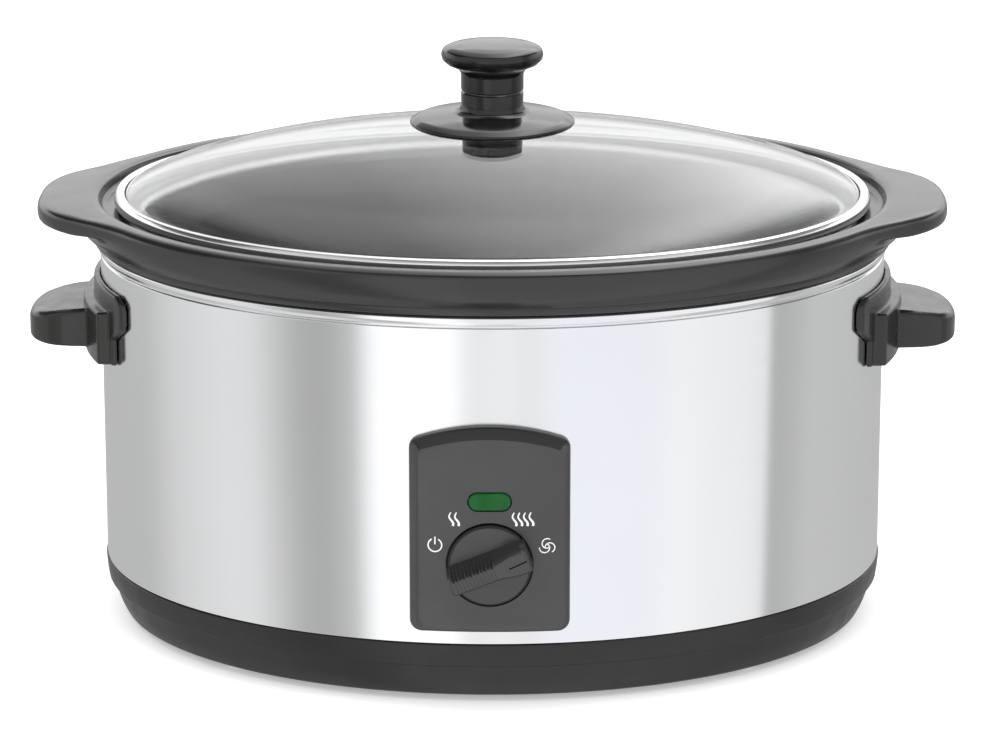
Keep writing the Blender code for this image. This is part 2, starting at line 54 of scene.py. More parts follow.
# ------------------------------------------------------------------ node helpers
class Mat:
    """A small wrapper that builds a procedural material round a Principled BSDF."""

    def __init__(self, name, **sockets):
        self.mat = bpy.data.materials.new(name)
        self.mat.use_nodes = True
        self.tree = self.mat.node_tree
        self.shader = self.tree.nodes["Principled BSDF"]
        for key, value in sockets.items():
            socket = self.shader.inputs[key.replace("_", " ")]
            if hasattr(value, "__len__") and len(value) == 3:
                value = (*value, 1.0)
            socket.default_value = value
        self.coords = None

    def node(self, kind, **props):
        made = self.tree.nodes.new(kind)
        for key, value in props.items():
            if key.startswith("in_"):
                made.inputs[int(key[3:])].default_value = value
            else:
                setattr(made, key, value)
        return made

    def link(self, a, b):
        self.tree.links.new(a, b)

    def position(self, scale=(1, 1, 1)):
        if self.coords is None:
            self.coords = self.node("ShaderNodeTexCoord")
        mapping = self.node("ShaderNodeMapping")
        mapping.inputs["Scale"].default_value = scale
        self.link(self.coords.outputs["Object"], mapping.inputs["Vector"])
        return mapping.outputs["Vector"]

    def noise(self, scale, detail=4.0, roughness=0.55, stretch=(1, 1, 1)):
        made = self.node("ShaderNodeTexNoise")
        made.inputs["Scale"].default_value = scale
        made.inputs["Detail"].default_value = detail
        made.inputs["Roughness"].default_value = roughness
        self.link(self.position(stretch), made.inputs["Vector"])
        return made.outputs["Fac"]

    def ramp(self, source, stops, interpolation="LINEAR"):
        made = self.node("ShaderNodeValToRGB")
        made.color_ramp.interpolation = interpolation
        elements = made.color_ramp.elements
        while len(elements) < len(stops):
            elements.new(0.5)
        for element, (place, colour) in zip(elements, stops):
            element.position = place
            element.color = (*colour, 1.0) if hasattr(colour, "__len__") else (colour, colour, colour, 1.0)
        self.link(source, made.inputs["Fac"])
        return made.outputs["Color"]

    def span(self, source, low, high, from_low=0.0, from_high=1.0):
        made = self.node("ShaderNodeMapRange")
        made.inputs["From Min"].default_value = from_low
        made.inputs["From Max"].default_value = from_high
        made.inputs["To Min"].default_value = low
        made.inputs["To Max"].default_value = high
        self.link(source, made.inputs["Value"])
        return made.outputs["Result"]

    def math(self, operation, a, b=None):
        made = self.node("ShaderNodeMath", operation=operation)
        for i, value in enumerate((a, b)):
            if value is None:
                continue
            if isinstance(value, (int, float)):
                made.inputs[i].default_value = value
            else:
                self.link(value, made.inputs[i])
        return made.outputs[0]

    def to(self, source, socket):
        self.link(source, self.shader.inputs[socket])
        return self

    def bump(self, source, distance, strength=1.0, previous=None):
        made = self.node("ShaderNodeBump")
        made.inputs["Strength"].default_value = strength
        made.inputs["Distance"].default_value = distance
        self.link(source, made.inputs["Height"])
        if previous is not None:
            self.link(previous, made.inputs["Normal"])
        self.link(made.outputs["Normal"], self.shader.inputs["Normal"])
        return made.outputs["Normal"]


def plastic(name, colour, roughness, grain=900.0, grain_depth=0.00002, spread=0.06, coat=0.0, specular=0.5, ior=1.5):
    """Moulded plastic: fine spark-eroded grain, slight mottling of colour and gloss."""
    m = Mat(name, Base_Color=colour, Roughness=roughness, Coat_Weight=coat, Coat_Roughness=0.12,
            Specular_IOR_Level=specular, IOR=ior)
    mottle = m.noise(38.0, 5.0)
    low = tuple(c * 0.82 for c in colour)
    high = tuple(min(c * 1.2, 1.0) for c in colour)
    m.to(m.ramp(mottle, [(0.3, low), (0.7, high)]), "Base Color")
    m.to(m.span(m.noise(90.0, 3.0), roughness - spread, roughness + spread, 0.3, 0.7), "Roughness")
    m.bump(m.noise(grain, 2.0, 0.5), grain_depth)
    return m.mat


# ------------------------------------------------------------------ materials
def steel_shell():
    m = Mat("shell_steel", Metallic=1.0, Base_Color=(0.86, 0.865, 0.875), Roughness=0.17,
            Anisotropic=0.8, Anisotropic_Rotation=0.25)
    streaks = m.noise(260.0, 6.0, 0.62, (0.02, 0.02, 1.0))
    cloud = m.noise(5.0, 4.0, 0.5)
    m.to(m.ramp(cloud, [(0.3, (0.84, 0.845, 0.855)), (0.7, (0.885, 0.89, 0.9))]), "Base Color")
    m.to(m.span(streaks, 0.15, 0.19, 0.3, 0.7), "Roughness")
    m.bump(streaks, 0.0000006)
    return m.mat


def steel_bright(name, colour=(0.82, 0.82, 0.83), roughness=0.16):
    m = Mat(name, Metallic=1.0, Base_Color=colour, Roughness=roughness)
    streaks = m.noise(420.0, 5.0, 0.6, (0.05, 0.05, 1.0))
    m.to(m.ramp(m.noise(22.0, 3.0), [(0.3, tuple(c * 0.94 for c in colour)), (0.7, tuple(min(c * 1.05, 1) for c in colour))]), "Base Color")
    m.to(m.span(streaks, roughness - 0.05, roughness + 0.07, 0.3, 0.7), "Roughness")
    m.bump(streaks, 0.000005)
    return m.mat


def glaze():
    m = Mat("stoneware_glaze", Base_Color=(0.012, 0.0118, 0.0112), Roughness=0.2, IOR=1.58)
    cloud = m.noise(16.0, 5.0, 0.6)
    m.to(m.ramp(cloud, [(0.3, (0.010, 0.0099, 0.0094)), (0.7, (0.015, 0.0148, 0.014))]), "Base Color")
    m.to(m.span(m.noise(60.0, 4.0), 0.17, 0.24, 0.3, 0.7), "Roughness")
    ripple = m.bump(m.noise(40.0, 3.0), 0.00006, 0.5)
    m.bump(m.noise(700.0, 2.0), 0.000004, 1.0, ripple)
    return m.mat


def clear_glass():
    m = Mat("lid_glass_clear", Base_Color=(0.8, 0.81, 0.81), Roughness=0.0, IOR=1.5, Transmission_Weight=1.0)
    smear = m.noise(14.0, 5.0, 0.6)
    m.to(m.span(smear, 0.0, 0.008, 0.45, 0.75), "Roughness")
    m.to(m.ramp(m.noise(7.0, 2.0), [(0.3, (0.78, 0.79, 0.79)), (0.7, (0.82, 0.83, 0.83))]), "Base Color")
    m.bump(m.noise(9.0, 2.0), 0.00006, 0.5)
    return m.mat


def green_lens():
    m = Mat("lens_green", Base_Color=(0.005, 0.08, 0.014), Roughness=0.3, Specular_IOR_Level=0.22)
    wave = m.node("ShaderNodeTexWave", bands_direction="X")
    wave.inputs["Scale"].default_value = 260.0
    wave.inputs["Distortion"].default_value = 0.0
    m.link(m.position(), wave.inputs["Vector"])
    m.to(m.ramp(m.noise(120.0, 3.0), [(0.3, (0.003, 0.068, 0.012)), (0.7, (0.007, 0.1, 0.018))]), "Base Color")
    m.bump(wave.outputs["Fac"], 0.00004, 0.5)
    return m.mat


def ink():
    m = Mat("print_white", Base_Color=(0.86, 0.86, 0.86), Roughness=0.55)
    m.to(m.ramp(m.noise(900.0, 2.0), [(0.3, 0.78), (0.7, 0.9)]), "Base Color")
    m.bump(m.noise(2200.0, 2.0), 0.000006)
    return m.mat


def aluminium():
    m = Mat("drawn_aluminium", Metallic=1.0, Base_Color=(0.62, 0.62, 0.63), Roughness=0.36)
    rub = m.noise(60.0, 6.0, 0.65, (0.25, 0.25, 1.0))
    m.to(m.ramp(rub, [(0.3, (0.52, 0.52, 0.53)), (0.7, (0.68, 0.68, 0.69))]), "Base Color")
    m.to(m.span(m.noise(25.0, 4.0), 0.28, 0.46, 0.3, 0.7), "Roughness")
    m.bump(rub, 0.00003)
    return m.mat


def zinc():
    m = Mat("zinc_plate", Metallic=1.0, Base_Color=(0.6, 0.59, 0.56), Roughness=0.34)
    m.to(m.ramp(m.noise(300.0, 4.0), [(0.3, (0.5, 0.5, 0.48)), (0.7, (0.68, 0.67, 0.63))]), "Base Color")
    m.to(m.span(m.noise(500.0, 3.0), 0.26, 0.44, 0.3, 0.7), "Roughness")
    m.bump(m.noise(1500.0, 2.0), 0.00001)
    return m.mat


def rubber():
    m = Mat("foot_rubber", Base_Color=(0.018, 0.018, 0.018), Roughness=0.82, Specular_IOR_Level=0.3)
    m.to(m.ramp(m.noise(120.0, 4.0), [(0.3, 0.013), (0.7, 0.027)]), "Base Color")
    m.to(m.span(m.noise(200.0, 3.0), 0.74, 0.9, 0.3, 0.7), "Roughness")
    m.bump(m.noise(1400.0, 3.0), 0.00003)
    return m.mat


def mica():
    m = Mat("heater_wrap", Base_Color=(0.5, 0.42, 0.3), Roughness=0.75)
    weave = m.node("ShaderNodeTexWave", bands_direction="Z")
    weave.inputs["Scale"].default_value = 220.0
    weave.inputs["Distortion"].default_value = 1.2
    m.link(m.position(), weave.inputs["Vector"])
    m.to(m.ramp(weave.outputs["Fac"], [(0.2, (0.36, 0.29, 0.19)), (0.8, (0.6, 0.52, 0.4))]), "Base Color")
    m.to(m.span(m.noise(80.0, 3.0), 0.65, 0.88, 0.3, 0.7), "Roughness")
    m.bump(weave.outputs["Fac"], 0.0002)
    return m.mat


def tinted(name, colour, roughness):
    m = Mat(name, Base_Color=colour, Roughness=roughness)
    m.to(m.ramp(m.noise(160.0, 4.0), [(0.3, tuple(c * 0.85 for c in colour)), (0.7, tuple(min(c * 1.12, 1) for c in colour))]), "Base Color")
    m.to(m.span(m.noise(220.0, 3.0), roughness - 0.06, roughness + 0.08, 0.3, 0.7), "Roughness")
    m.bump(m.noise(900.0, 2.0), 0.00002)
    return m.mat


STEEL = steel_shell()
RIM_STEEL = steel_bright("rim_steel")
BAND = steel_bright("band_steel", (0.8, 0.8, 0.8), 0.2)
GLAZE = glaze()
GLASS = clear_glass()
BASE = plastic("base_black", (0.008, 0.008, 0.0072), 0.34, 1100.0, 0.000012)
HANDLE = plastic("handle_black", (0.014, 0.014, 0.0128), 0.24, 1100.0, 0.000006)
KNOB = plastic("knob_gloss_black", (0.007, 0.007, 0.0072), 0.14, 900.0, 0.000003, 0.03)
PANEL = plastic("panel_grey", (0.019, 0.019, 0.0188), 0.36, 1600.0, 0.000010, ior=1.76)
DIAL = plastic("dial_grey", (0.0175, 0.0175, 0.0172), 0.34, 1600.0, 0.000008, ior=1.74)
# painted shade: a darker copy of the panel plastic, put on the panel's top bevel to show it in shade
PANEL_TOP_SHADE = plastic("panel_top_painted_shade", (0.006, 0.006, 0.006), 0.22, 1600.0, 0.000006)
# painted shade: a near-black copy of the plastic, put in the gaps round the dial and lens and on the dial's side wall
# where shade falls
SHADE_BLACK = plastic("painted_shade_black", (0.008, 0.008, 0.008), 0.5, 1200.0, 0.00001)
LENS = green_lens()
INK = ink()
ALU = aluminium()
ZINC = zinc()
RUBBER = rubber()
MICA = mica()
NYLON = tinted("white_nylon", (0.72, 0.7, 0.64), 0.5)
LAMP = tinted("lamp_amber", (0.75, 0.38, 0.2), 0.2)
WIRE = tinted("lead_sleeve", (0.42, 0.1, 0.05), 0.55)


# ------------------------------------------------------------------ mesh helpers
def add(name, verts, faces, mat, body, replaces=(), slot=None, smooth_angle=40.0):
    """A new piece from vertices in mm and faces, smooth-shaded, riding on a body."""
    mesh = bpy.data.meshes.new(name)
    mesh.from_pydata([tuple(v) for v in np.asarray(verts, float) * MM], [], faces)
    return place(name, mesh, mat, body, replaces, slot, smooth_angle)


def place(name, mesh, mat, body, replaces=(), slot=None, smooth_angle=40.0):
    mesh.validate()
    bm = bmesh.new()
    bm.from_mesh(mesh)
    bmesh.ops.remove_doubles(bm, verts=bm.verts, dist=2e-7)
    bmesh.ops.recalc_face_normals(bm, faces=bm.faces)
    bm.to_mesh(mesh)
    bm.free()
    mesh.shade_smooth()
    mesh.set_sharp_from_angle(angle=math.radians(smooth_angle))
    mesh.materials.clear()
    for one in mat if isinstance(mat, (list, tuple)) else [mat]:
        mesh.materials.append(one)
    obj = bpy.data.objects.new(name, mesh)
    looks.objects.link(obj)
    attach(obj, body)
    if replaces:
        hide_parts(*replaces)
    return obj


def filleted(points, closed=False):
    """A polyline of (x, z, radius) with each corner rounded by its radius; radius 0 keeps the corner."""
    out = []
    count = len(points)
    for i, (x, z, r) in enumerate(points):
        p = np.array((x, z), float)
        if r <= 0 or (not closed and i in (0, count - 1)):
            out.append(tuple(p))
            continue
        a = np.array(points[i - 1][:2], float)
        c = np.array(points[(i + 1) % count][:2], float)
        u, v = a - p, c - p
        lu, lv = np.linalg.norm(u), np.linalg.norm(v)
        u, v = u / lu, v / lv
        angle = math.acos(max(-1.0, min(1.0, float(u @ v))))
        if angle > math.pi - 0.02:
            out.append(tuple(p))
            continue
        reach = min(r / math.tan(angle / 2), 0.49 * lu, 0.49 * lv)
        start, end = p + u * reach, p + v * reach
        turn = math.pi - angle
        steps = max(3, int(turn / math.radians(11)) + 1)
        for k in range(steps + 1):
            t = k / steps
            q = (1 - t) ** 2 * start + 2 * t * (1 - t) * p + t * t * end
            out.append(tuple(q))
    return out


def refine(points, longest):
    """Splits long runs so that shading and reflections stay even."""
    out = [points[0]]
    for p, q in zip(points, points[1:]):
        gap = math.dist(p, q)
        n = max(1, int(math.ceil(gap / longest)))
        out += [(p[0] + (q[0] - p[0]) * k / n, p[1] + (q[1] - p[1]) * k / n) for k in range(1, n + 1)]
    return out


def oval_xy(offset, cos, sin):
    inner = max(offset, -40.0)
    ratio = (B + inner) / (A + inner)
    return (A + offset) * cos, (A + offset) * ratio * sin


def oval(name, profile, mat, body, replaces=(), slot=None, closed=False, steps=N, smooth_angle=40.0, longest=None):
    """A profile of (offset, height, radius) swept round the oval. An open profile that starts and ends on the axis closes itself."""
    pts = filleted(profile, closed)
    if longest:
        pts = refine(pts, longest)
    angles = np.linspace(0, 2 * math.pi, steps, endpoint=False)
    cos, sin = np.cos(angles), np.sin(angles)
    verts, rows = [], []
    for offset, z in pts:
        if offset <= -A + 1e-6:
            rows.append([len(verts)])
            verts.append((0.0, 0.0, z + FEET))
            continue
        x, y = oval_xy(offset, cos, sin)
        rows.append(list(range(len(verts), len(verts) + steps)))
        verts += list(zip(x, y, np.full(steps, z + FEET)))
    faces = rows_to_faces(rows, closed, steps)
    return add(name, verts, faces, mat, body, replaces, slot, smooth_angle)


def rows_to_faces(rows, closed, steps):
    faces = []
    pairs = list(zip(rows, rows[1:])) + ([(rows[-1], rows[0])] if closed else [])
    for low, high in pairs:
        for i in range(steps):
            j = (i + 1) % steps
            if len(low) == 1 and len(high) == 1:
                continue
            if len(low) == 1:
                faces.append((low[0], high[j], high[i]))
            elif len(high) == 1:
                faces.append((low[i], low[j], high[0]))
            else:
                faces.append((low[i], low[j], high[j], high[i]))
    return faces


def turned(name, profile, mat, body, replaces=(), slot=None, closed=False, steps=96, centre=(0.0, 0.0, FEET), axis="Z", smooth_angle=40.0):
    """A profile of (radius, height, corner radius) turned about an axis through centre."""
    pts = filleted(profile, closed)
    angles = np.linspace(0, 2 * math.pi, steps, endpoint=False)
    verts, rows = [], []
    for r, z in pts:
        if r <= 1e-6:
            rows.append([len(verts)])
            verts.append((0.0, 0.0, z))
            continue
        rows.append(list(range(len(verts), len(verts) + steps)))
        verts += [(r * math.cos(t), r * math.sin(t), z) for t in angles]
    verts = np.array(verts, float)
    if axis == "-Y":
        verts = np.stack([verts[:, 0], -verts[:, 2], verts[:, 1]], 1)
    elif axis == "Y":
        verts = np.stack([verts[:, 0], verts[:, 2], -verts[:, 1]], 1)
    verts = verts + np.array(centre, float)
    return add(name, verts, rows_to_faces(rows, closed, steps), mat, body, replaces, slot, smooth_angle)


def boolean(obj, cutter, operation="DIFFERENCE", keep=False):
    modifier = obj.modifiers.new("b", "BOOLEAN")
    modifier.operation = operation
    modifier.solver = "EXACT"
    modifier.object = cutter
    bpy.context.view_layer.update()
    made = bpy.data.meshes.new_from_object(obj.evaluated_get(bpy.context.evaluated_depsgraph_get()))
    obj.modifiers.remove(modifier)
    old = obj.data
    made.name = old.name
    obj.data = made
    bpy.data.meshes.remove(old)
    if not keep:
        bpy.data.objects.remove(cutter, do_unlink=True)
    return obj


def loose(name, bm):
    """A scratch object from a bmesh in metres; it never stays in the scene."""
    mesh = bpy.data.meshes.new(name)
    bmesh.ops.recalc_face_normals(bm, faces=bm.faces)
    bm.to_mesh(mesh)
    bm.free()
    obj = bpy.data.objects.new(name, mesh)
    looks.objects.link(obj)
    return obj


def prism(outline, low, high):
    """An outline of (x, z) in mm, extruded along Y from low to high; a bmesh in mm."""
    bm = bmesh.new()
    a = [bm.verts.new((x, low, z)) for x, z in outline]
    b = [bm.verts.new((x, high, z)) for x, z in outline]
    bm.faces.new(a)
    bm.faces.new(b[::-1])
    n = len(outline)
    for i in range(n):
        j = (i + 1) % n
        bm.faces.new((a[i], b[i], b[j], a[j]))
    bmesh.ops.recalc_face_normals(bm, faces=bm.faces)
    return bm


def front_y(x, proud):
    a, b = A + proud, B + proud
    return -b * math.sqrt(max(1 - (x / a) ** 2, 0.0))


def end_x(y, proud):
    a, b = A + proud, B + proud
    return a * math.sqrt(max(1 - (y / b) ** 2, 0.0))


def rod(radius, low, high, centre, steps=64):
    """A round cutter along Y; high is further out to the front. Scratch object, mm in, metres out."""
    ring = [(centre[0] + radius * math.cos(2 * math.pi * i / steps), centre[1] + radius * math.sin(2 * math.pi * i / steps)) for i in range(steps)]
    bm = prism(ring, low, high)
    bmesh.ops.scale(bm, vec=(MM, MM, MM), verts=bm.verts)
    return loose("scratch", bm)


# ------------------------------------------------------------------ base
oval("base_moulding_fine", [
    (-1.6, 24.9, 0.2), (0.1, 24.9, 0.5), (0.5, 24.3, 0.4), (0.1, 19.5, 6.0), (-0.5, 15.4, 0.4), (-2.5, 14.5, 0.35), (-4.6, 6.5, 30.0),
    (-7.4, 1.0, 3.0), (-9.4, 0.0, 0.8), (-24.0, 0.0, 0.5), (-24.0, 2.6, 0.3), (-10.2, 2.6, 0.5), (-7.2, 8.0, 1.0), (-4.2, 15.5, 2.0), (-1.8, 24.5, 0.2),
], BASE, "root", ["base_moulding"], "black_plastic", closed=True, longest=None)

# ------------------------------------------------------------------ outer shell with rolled rim
oval("outer_shell_fine", [
    (0.0, 25.2, 0.15), (0.0, 157.2, 0.5), (-0.62, 157.85, 0.25), (-0.62, 158.25, 0.25), (0.1, 158.8, 0.5), (0.85, 160.2, 1.2), (0.7, 161.7, 0.8),
    (-0.5, 162.5, 0.6), (-3.4, 162.5, 0.2), (-3.4, 161.7, 0.2), (-1.0, 161.6, 0.5), (-0.5, 160.4, 0.5), (-1.6, 158.1, 0.4), (-0.9, 156.8, 0.3), (-0.9, 25.2, 0.1),
], STEEL, "root", ["outer_shell"], "polished_steel", closed=True, steps=360, longest=None)

# ------------------------------------------------------------------ crock with lugs
LUG = [(0.0, 193.0), (7.5, 192.85), (14.0, 192.4), (21.5, 191.2), (27.0, 189.8), (32.0, 187.7), (36.5, 185.2), (41.0, 182.0), (45.0, 178.2), (49.0, 174.0), (53.5, 169.8), (58.5, 165.0), (64.0, 160.0), (70.0, 154.0)]


def lug_x(y):
    ys, xs = [p[0] for p in LUG], [p[1] for p in LUG]
    return float(np.interp(y, ys, xs))


# (offset, height, lug share, lug height)
FLANGE = [
    (7.4, 170.8, 0.0, 169.6), (8.1, 172.3, 0.03, 171.6), (8.6, 173.6, 0.10, 172.9), (9.0, 174.6, 0.24, 173.5),
    (9.2, 175.3, 0.42, 173.7), (9.35, 176.0, 0.62, 173.75), (9.5, 176.6, 0.80, 173.8), (9.55, 177.0, 0.90, 173.9), (9.6, 177.5, 0.955, 174.25),
    (9.62, 178.0, 0.985, 174.9), (9.62, 178.6, 1.0, 176.0), (9.6, 179.2, 1.0, 177.6), (9.4, 180.0, 0.998, 179.2),
    (9.0, 180.8, 0.985, 180.3), (8.4, 181.4, 0.96, 180.9), (7.7, 181.9, 0.915, 181.25), (6.8, 182.2, 0.82, 181.5),
    (5.6, 182.35, 0.62, 181.7), (4.2, 182.4, 0.36, 181.95), (2.8, 182.35, 0.12, 182.15), (1.6, 182.1, 0.0, 182.1),
]
LIP = filleted([(-18.9, 163.0, 0), (1.2, 163.0, 0.6), (2.5, 163.5, 0.9), (3.2, 165.3, 0.7), (2.95, 166.3, 0.35), (4.6, 167.0, 0.8), (6.2, 169.2, 3.0), (7.4, 170.8, 0)])
TOP = filleted([(1.6, 182.1, 0), (0.2, 181.4, 1.2), (-0.7, 178.0, 2.0), (-2.2, 176.9, 1.2), (-14.6, 176.3, 3.0), (-21.0, 171.0, 6.0), (-24.6, 160.0, 14.0), (-26.0, 140.0, 40.0),
                (-27.6, 62.0, 40.0), (-31.0, 49.0, 12.0), (-44.0, 42.6, 16.0), (-80.0, 42.0, 10.0), (-A, 42.0, 0)])
UNDER = filleted([(-A, 34.6, 0), (-56.0, 34.6, 0.8), (-54.0, 36.4, 0.5), (-40.0, 36.4, 4.0), (-26.0, 45.0, 14.0), (-21.0, 62.0, 30.0), (-19.8, 150.0, 20.0), (-18.9, 163.0, 0)])
angles = np.linspace(0, 2 * math.pi, N, endpoint=False)
cos, sin = np.cos(angles), np.sin(angles)
rim_x, rim_y = oval_xy(9.6, cos, sin)
extra = np.array([lug_x(abs(y)) - abs(x) if abs(y) < 70 else -9.0 for x, y in zip(rim_x, rim_y)])
extra = 0.5 * (extra + np.sqrt(extra ** 2 + 1.6))     # soft blend where a lug leaves the rim
extra[np.abs(rim_y) > 78] = 0.0
fade = np.clip((78 - np.abs(rim_y)) / 8.0, 0, 1)
extra *= fade
share = np.clip(extra / 9.0, 0, 1)
share = share * share * (3 - 2 * share)
verts, rows = [], []


def ring_of(offset, z, weight=0.0, lug_z=None):
    if offset <= -A + 1e-6:
        rows.append([len(verts)])
        verts.append((0.0, 0.0, z + FEET))
        return
    x, y = oval_xy(offset, cos, sin)
    x = x + np.sign(cos) * extra * weight
    height = np.full(N, float(z)) if lug_z is None else z + (lug_z - z) * share
    rows.append(list(range(len(verts), len(verts) + N)))
    verts.extend(zip(x, y, height + FEET))


for o, z in UNDER:
    ring_of(o, z)
for o, z in LIP[1:-1]:
    ring_of(o, z)
for o, z, w, lz in FLANGE:
    ring_of(o, z, w, lz)
for o, z in TOP[1:]:
    ring_of(o, z)
crock = add("crock_fine", verts, rows_to_faces(rows, False, N), GLAZE, "crock", ["crock"], "black_glaze", 60.0)

# ------------------------------------------------------------------ lid
EDGE = -10.9


def dome(offset):
    radius = (A + offset) / (A + EDGE)
    return 182.0 + 28.0 * max(1 - radius ** 2, 0.0) ** 0.7


spread = A + EDGE
outer = [(-A + spread * t, dome(-A + spread * t)) for t in [0.03] + list(np.sin(np.linspace(0.03, 1, 44) * math.pi / 2))]
outer = [(o, z) for o, z in outer if o < EDGE - 0.02]
inner = [(-A + (A + o) * 0.9935, z - 3.5) for o, z in outer]
profile = ([(-A + 3.4, dome(-A + 3.4), 0)] + [(o, z, 0) for o, z in outer[1:]] + [(EDGE, 182.05, 0), (-9.6, 181.9, 0), (-8.3, 181.6, 0), (-7.9, 180.9, 0), (-7.9, 179.9, 0), (-8.5, 179.1, 0), (-10.6, 178.9, 0)]
           + [(o, max(z, 178.9), 0) for o, z in reversed(inner[1:])] + [(-A + 3.4, dome(-A + 3.4) - 3.5, 0)])
oval("lid_glass_fine", profile, GLASS, "lid", ["lid_glass"], "clear_glass", closed=True, smooth_angle=75.0)
oval("lid_band_fine", [
    (-11.0, 182.5, 0.2), (-10.7, 183.1, 0.3), (-9.1, 183.6, 0.9), (-7.5, 183.3, 1.0), (-6.5, 181.9, 1.3), (-6.4, 179.4, 1.5), (-7.4, 177.9, 0.8),
    (-10.7, 177.8, 0.2), (-10.7, 178.4, 0.2), (-7.9, 178.5, 0.6), (-7.2, 179.6, 0.6), (-7.3, 181.7, 0.5), (-8.6, 182.5, 0.4), (-10.4, 182.45, 0.1),
], BAND, "lid", ["lid_band"], "band_steel", closed=True)
collar = turned("knob_collar_fine", [
    (12.4, 211.6, 0.1), (24.0, 210.9, 0), (33.4, 210.75, 0.8), (34.9, 211.7, 0.8), (34.9, 212.7, 1.0), (31.6, 214.5, 4.5), (22.0, 215.7, 12.0), (16.2, 216.2, 2.0),
    (14.0, 217.5, 1.8), (13.35, 219.6, 0.4), (12.4, 219.8, 0.1),
], KNOB, "lid", ["knob_collar"], "gloss_black", closed=True, steps=128)
turned("knob_stem_fine", [
    (3.2, 210.9, 0.1), (12.8, 210.9, 0.3), (13.2, 219.0, 3.0), (13.3, 224.95, 0.08), (12.6, 225.65, 0.04), (3.2, 225.65, 0.1),
], KNOB, "lid", closed=True, steps=128)
head = turned("lid_knob_fine", [
    (0, 246.0, 0), (5.0, 245.97, 0), (13.0, 245.65, 18.0), (18.4, 244.9, 6.0), (20.9, 243.6, 1.5), (21.7, 241.4, 1.3), (21.2, 239.2, 1.4), (19.2, 237.3, 1.4), (16.8, 236.4, 1.4),
    (14.6, 235.2, 1.8), (13.3, 233.2, 2.2), (13.3, 226.4, 0.08), (12.6, 225.7, 0.04), (3.0, 225.7, 0.1), (3.0, 238.0, 0.1), (0, 238.0, 0),
], KNOB, "lid", ["lid_knob"], "gloss_black", steps=128)
for piece in (collar, head):
    piece.visible_glossy = False
    piece.visible_transmission = False
turned("knob_washer_fine", [
    (3.2, 206.0, 0.1), (17.4, 205.7, 0.6), (19.2, 204.9, 0.5), (19.3, 203.6, 0.8), (17.6, 202.2, 1.2), (9.6, 201.3, 1.5), (8.6, 201.9, 0.4), (6.6, 201.9, 0.4), (6.2, 201.2, 0.3), (3.2, 201.2, 0.1),
], KNOB, "lid", ["knob_washer"], "gloss_black", closed=True, steps=96)

# ------------------------------------------------------------------ side handles
TONGUE = [(0, 1.0), (0.12, 0.998), (0.25, 0.992), (0.38, 0.98), (0.5, 0.958), (0.6, 0.927), (0.69, 0.882), (0.77, 0.825), (0.84, 0.75), (0.895, 0.66), (0.94, 0.55), (0.972, 0.42), (0.992, 0.25), (1.0, 0.0)]


def scaled(bm):
    bmesh.ops.scale(bm, vec=(MM, MM, MM), verts=bm.verts)
    return bm


def round_edges(bm, width, segments, only):
    edges = [e for e in bm.edges if len(e.link_faces) == 2 and only(e)]
    bmesh.ops.bevel(bm, geom=edges, offset=width, segments=segments, profile=0.5, affect="EDGES", clamp_overlap=True)
    return bm


def end_block(outline, inner, outer, edge, slices):
    """A (y, z) outline on the shell's +X end between two distances from the shell, its outer rim rounded."""
    bm = prism([(y, z) for y, z in outline], inner, outer)
    round_edges(bm, edge, 4, lambda e: all(v.co.y > outer - 1e-4 for v in e.verts))
    for y in slices:
        bmesh.ops.bisect_plane(bm, geom=bm.verts[:] + bm.edges[:] + bm.faces[:], plane_co=(y, 0, 0), plane_no=(1, 0, 0))
    for v in bm.verts:
        depth, proud = v.co.x, v.co.y
        v.co.x, v.co.y = end_x(depth, proud), depth
        v.co.z += FEET
    return scaled(bm)


def rounded(points, radius, steps=5):
    """A closed outline with its corners rounded."""
    return filleted([(x, z, radius) for x, z in points], True)


def tongue_block():
    root, tip, half, low, top = 166.5, 198.0, 26.0, 119.6, 136.4
    edge = [(u, w) for u, w in TONGUE]
    loop = edge + [(u, -w) for u, w in reversed(edge[:-1])]
    bm = bmesh.new()
    levels = [0.0, 0.5, 1.0]
    rings = []
    for level in levels:
        ring = []
        for u, w in loop:
            drop = 4.6 * u * u
            lift = 1.2 * max(u - 0.55, 0) ** 2 / 0.2025
            high = top - drop
            bottom = low + lift
            ring.append(bm.verts.new((root + u * (tip - root), w * half, FEET + bottom + (high - bottom) * level)))
        rings.append(ring)
    bm.faces.new(rings[0][::-1])
    bm.faces.new(rings[-1])
    n = len(loop)
    for a, b in zip(rings, rings[1:]):
        for i in range(n):
            j = (i + 1) % n
            bm.faces.new((a[i], a[j], b[j], b[i]))
    bmesh.ops.recalc_face_normals(bm, faces=bm.faces)
    top_set, low_set = set(rings[-1]), set(rings[0])
    for ring_set, width in ((top_set, 2.9), (low_set, 1.4)):
        edges = [e for e in bm.edges if all(v in ring_set for v in e.verts)
                 and len(e.link_faces) == 2 and max(v.co.x for v in e.verts) > root + 0.01]
        bmesh.ops.bevel(bm, geom=edges, offset=width, segments=5, profile=0.5, affect="EDGES", clamp_overlap=True)
    return scaled(bm)


